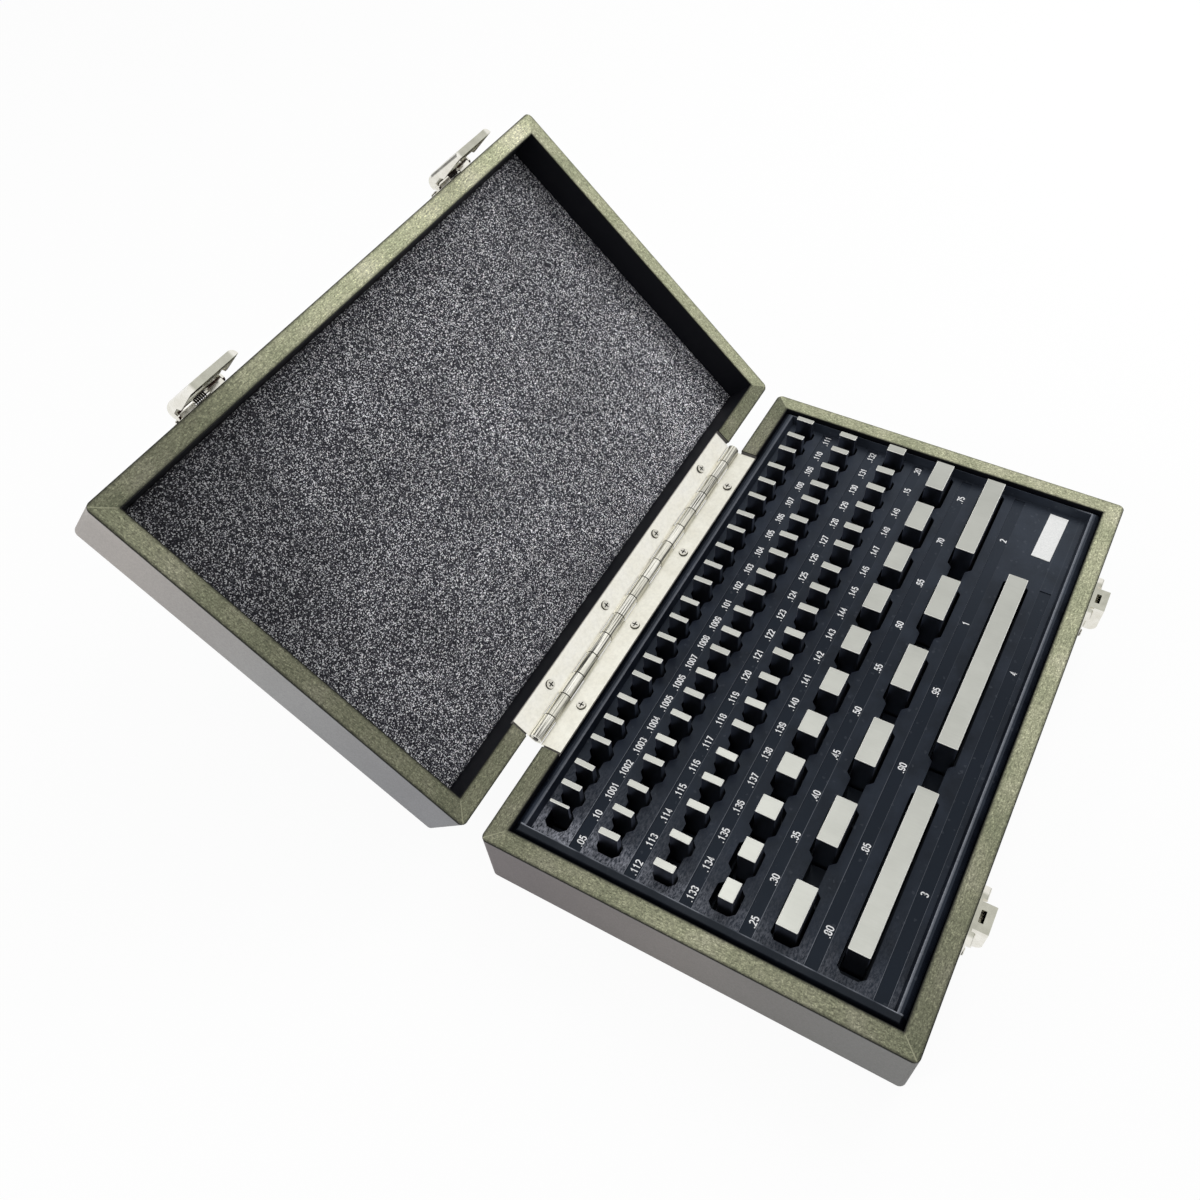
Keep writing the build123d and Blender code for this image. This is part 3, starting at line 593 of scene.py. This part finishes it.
# Each figure is one or two pen lines in a cell from -0.5 to 0.5 across and from 0 to 1 up.
six = arc(0.72, 0.56, 25, 180) + arc(0.3, 0.6, 180, 540)
pen_lines = {
    "0": [arc(0.7, 0.6, 0, 180) + arc(0.3, 0.6, 180, 360) + [(0.5, 0.7)]],
    "1": [[(-0.4, 0.8), (0.05, 1.0), (0.05, 0.0)]],
    "2": [arc(0.72, 0.56, 165, -30) + [(-0.5, 0.0), (0.5, 0.0)]],
    "3": [arc(0.76, 0.48, 160, -90) + [(-0.12, 0.52)], arc(0.26, 0.52, 90, -160)],
    "4": [[(0.22, 0.0), (0.22, 1.0), (-0.5, 0.28), (0.55, 0.28)]],
    "5": [[(0.42, 1.0), (-0.36, 1.0), (-0.42, 0.54)] + arc(0.31, 0.62, 125, -160)],
    "6": [six],
    "7": [[(-0.5, 1.0), (0.5, 1.0), (-0.1, 0.0)]],
    "8": [arc(0.77, 0.46, 0, 360), arc(0.27, 0.54, 0, 360)],
    "9": [(np.array((0, 1)) - six).tolist()],
    ".": [[(0.0, -0.06), (0.0, 0.1)]],
}
figure_height = 2.85 * millimetre
figure_width = 1.28 * millimetre
figure_step = 1.96 * millimetre
dot_step = 0.98 * millimetre
pen_width = 0.5 * millimetre
ink_height = 0.06 * millimetre


def ribbon(line, width):
    """The two sides of a flat line. Each point moves out along the mean of the normals of the
    lines that meet there, by half the width over the cosine of half the bend."""
    step = np.diff(line, axis=0)
    step = step / np.linalg.norm(step, axis=1)[:, None]
    before = np.vstack([step[:1], step])
    after = np.vstack([step, step[-1:]])
    along = before + after
    along = along / np.linalg.norm(along, axis=1)[:, None]
    stretch = 1 / np.maximum(np.sum(along * after, axis=1), 0.45)
    out = np.stack([-along[:, 1], along[:, 0]], axis=1) * (width / 2 * stretch)[:, None]
    return line + out, line - out


def printed(marks, level):
    """The marks' figures as points and faces. Each pen line becomes one ribbon at the level,
    with its left side's points first and a face across between each two steps along it."""
    points, faces = [], []
    count = 0
    for x, y, text in marks:
        steps = np.array([dot_step if letter == "." else figure_step for letter in text])
        middles = np.cumsum(steps) - steps / 2 - steps.sum() / 2
        for letter, middle in zip(text, middles):
            for line in pen_lines[letter]:
                flat = np.array(line) * (figure_width, figure_height)
                flat += (middle + x * millimetre, y * millimetre - figure_height / 2)
                size = len(flat)
                sides = np.vstack(ribbon(flat, pen_width))
                points.append(np.hstack([sides, np.full((2 * size, 1), level)]))
                near = np.arange(count, count + size - 1)
                quads = [near, near + size, near + size + 1, near + 1]
                faces += np.stack(quads, axis=1).tolist()
                count += 2 * size
    return np.vstack(points), faces


ink = Finish("white_ink", roughness=0.6, specular=0.3)
flecks = ink.noise(ink.place(), 2600, 1, 0.5)
ink.set(Base_Color=ink.ramp(flecks, (0.3, srgb(240, 241, 242)), (0.6, srgb(254, 254, 254))))
figure_points, figure_faces = printed(size_marks, band_level + ink_height)
numbers = mesh_piece("size_numbers", figure_points, figure_faces, ink.material, "base")
solid = numbers.modifiers.new("ink thickness", "SOLIDIFY")
solid.thickness = ink_height
solid.offset = -1

# The paper label. A blank white slip of matt paper, stuck on the tray's face beside the last
# row of blocks.

paper = Finish("blank_paper", roughness=0.75, specular=0.2)
fibres = paper.noise(paper.place(), 1800, 3, 0.6)
paper.set(Base_Color=paper.ramp(fibres, (0.3, srgb(222, 223, 222)), (0.7, srgb(240, 240, 239))))
paper.bump(fibres, 0.01 * millimetre, 0.4)
dress(paper.material, "label_plate")

# The gauge blocks. Hardened steel, lapped on the two ends that measure and fine ground on the
# other faces, in lengths from 0.05 to 4 inches, with lightly broken edges that carry a painted
# bright highlight.

steel = Finish("ground_steel", metallic=1.0)
ground = steel.noise(steel.place(scale=(1400, 90, 300)), 1.0, 4, 0.65)
handled = steel.noise(steel.place(), 45, 3, 0.6)
colour = steel.ramp(handled, (0.3, srgb(181, 182, 175)), (0.7, srgb(192, 193, 186)))
colour = steel.times(colour, steel.ramp(ground, (0.3, 0.96), (0.6, 1.0)))
upward = steel.facing((0, 0, 1))
# Painted shade: faces that don't look up are painted a darker, bluer grey than the tops.
colour = steel.mix(steel.math("LESS_THAN", upward, 0.3), colour, srgb(152, 157, 170))
# Painted highlight: the broken edges, halfway between up and sideways, are painted near white and not
# metallic.
chamfer_highlight = steel.math("COMPARE", upward, math.sqrt(0.5), 0.2)
colour = steel.mix(chamfer_highlight, colour, srgb(246, 246, 240))
metallic = steel.math("SUBTRACT", 1.0, chamfer_highlight)
roughness = steel.math("MULTIPLY_ADD", handled, 0.06, 0.27)
steel.set(Base_Color=colour, Metallic=metallic, Roughness=roughness)
dress(steel.material, *[name for name in nodes if name.startswith("block")])

# The latches. Bright nickel-plated steel: a keeper with a hooded catch on the base, and on the
# lid a plate with two ears, a pin, a coil spring and the hasp that snaps over the hood.


def latch_metal(node, outward, inward, dull_share):
    """Bright nickel, dulled over a share of the width of its outer face, with painted shade on the
    faces that look inward.
    """
    low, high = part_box(node)
    metal = Finish(node + "_metal", metallic=1.0)
    smear = metal.noise(metal.place(), 260, 3, 0.6)
    colour = metal.ramp(smear, (0.3, srgb(222, 219, 208)), (0.7, srgb(242, 240, 232)))
    x = metal.add("SeparateXYZ", Vector=metal.place()).outputs[0]
    half = (high.x - low.x) / 2
    spread = metal.math("ABSOLUTE", metal.math("SUBTRACT", x, (low.x + high.x) / 2))
    spread = metal.math("DIVIDE", spread, half)
    outer = metal.facing(outward)
    middle = metal.ramp(spread, (dull_share - 0.1, 1.0), (dull_share, 0.0))
    dulled = metal.math("MULTIPLY", metal.math("GREATER_THAN", outer, 0.7), middle)
    dull = metal.ramp(smear, (0.3, srgb(178, 177, 164)), (0.7, srgb(196, 195, 182)))
    colour = metal.mix(dulled, colour, dull)
    # Painted shade: faces that look inward, hidden from the front, are painted dark brown.
    colour = metal.mix(metal.math("GREATER_THAN", metal.facing(inward), 0.3), colour, srgb(66, 50, 46))
    metal.set(Base_Color=colour, Roughness=metal.math("MULTIPLY_ADD", smear, 0.2, 0.08))
    dress(metal.material, node)


for side in ("left", "right"):
    latch_metal(side + "_hasp", lid_rim_out, towards_hinge, 0.86)
    latch_metal(side + "_keeper", (0, 0, 1), (0, 1, 0), 0.8)
    latch_metal(side + "_lid_plate", lid_rim_out, -lid_rim_out, 0.1)
    latch_metal(side + "_latch_pin", lid_rim_out, -lid_rim_out, 0.1)
# Painted shade: the spring is painted near black, as dark as the shaded gap it sits in.
coil = Finish("spring_steel", roughness=0.35, metallic=1.0)
spring_mottle = coil.noise(coil.place(), 700, 2, 0.6)
coil.set(Base_Color=coil.ramp(spring_mottle, (0.3, srgb(26, 23, 23)), (0.7, srgb(56, 49, 45))))
dress(coil.material, "left_latch_spring", "right_latch_spring")

# The studio. A plain pale floor under the case, a surround that is white to the camera and dims
# towards the horizon in reflections, soft lamps, and the camera where the picture was taken.

floor_half = 3.0
floor_mesh = bpy.data.meshes.new("floor")
corners = floor_half * np.array([(-1, -1, 0), (1, -1, 0), (1, 1, 0), (-1, 1, 0)])
floor_mesh.from_pydata(corners.tolist(), [], [(0, 1, 2, 3)])
floor = bpy.data.objects.new("floor", floor_mesh)
bpy.context.scene.collection.objects.link(floor)
paint = Finish("pale_floor", roughness=0.9, specular=0.0)
paint.set(Base_Color=srgb(240, 240, 240))
rays = paint.add("LightPath").outputs
seen = paint.math("MAXIMUM", rays["Is Camera Ray"], rays["Is Glossy Ray"])
seen = paint.math("MAXIMUM", seen, rays["Is Transmission Ray"])
glow = paint.add("Emission", Color=(1, 1, 1, 1), Strength=1.0)
white = paint.add("MixShader", Fac=paint.math("MULTIPLY", seen, 0.94))
paint.tree.links.new(paint.shader.outputs[0], white.inputs[1])
paint.tree.links.new(glow.outputs[0], white.inputs[2])
paint.tree.links.new(white.outputs[0], paint.tree.nodes["Material Output"].inputs[0])
floor_mesh.materials.append(paint.material)

world = bpy.data.worlds.new("studio")
bpy.context.scene.world = world
world.use_nodes = True
sky = Nodes(world.node_tree)
elevation = sky.add("SeparateXYZ", Vector=sky.coordinates("Generated")).outputs[2]
dome = sky.ramp(elevation, (0.0, 0.2), (0.12, 0.3), (0.33, 1.0))
rays = sky.add("LightPath").outputs
light = sky.mix(rays["Is Glossy Ray"], grey_level(0.5), dome)
plain = sky.math("MAXIMUM", rays["Is Camera Ray"], rays["Is Transmission Ray"])
sky.fill(sky.tree.nodes["Background"].inputs["Color"], sky.mix(plain, light, grey_level(1.0)))


def softbox(name, place, target, size, power, mirrored=True):
    """A flat area lamp that faces a point, and that shiny surfaces show or not."""
    lamp = bpy.data.lights.new(name, "AREA")
    lamp.shape = "RECTANGLE"
    lamp.size, lamp.size_y = size
    lamp.energy = power
    holder = bpy.data.objects.new(name, lamp)
    holder.location = place
    holder.rotation_euler = (Vector(target) - Vector(place)).to_track_quat("-Z", "Y").to_euler()
    holder.visible_glossy = mirrored
    bpy.context.scene.collection.objects.link(holder)


softbox("overhead", (0.3, 0.2, 1.5), (-0.1, 0.05, 0), (0.25, 0.9), 1.0)
softbox("right key", (0.75, -0.2, 0.75), (0.1, 0.0, 0.03), (0.6, 0.6), 5.5, mirrored=False)
softbox("left fill", (-1.0, 0.75, 0.6), (-0.15, 0.22, 0.14), (0.5, 0.5), 5, mirrored=False)

# The camera's place, turn and lens were fitted to the photograph, which is image_pixels wide
# and high. The lens's length is given in those pixels, and the point straight ahead of it lies
# at centre_pixels from the upper left corner.
image_pixels = 1200
lens_pixels = 1065.94
centre_pixels = (636.05, 610.25)
camera = bpy.data.cameras.new("camera")
camera.sensor_width = 36.0
camera.lens = lens_pixels / image_pixels * camera.sensor_width
camera.shift_x = 0.5 - centre_pixels[0] / image_pixels
camera.shift_y = centre_pixels[1] / image_pixels - 0.5
camera.clip_start = 0.01
view = bpy.data.objects.new("camera", camera)
view.location = (-0.27524, -0.06725, 0.43396)
view.rotation_euler = Euler(math.radians(angle) for angle in (37.0804, 2.3229, -61.3123))
bpy.context.scene.collection.objects.link(view)
bpy.context.scene.camera = view
bpy.context.scene.view_settings.view_transform = "Standard"
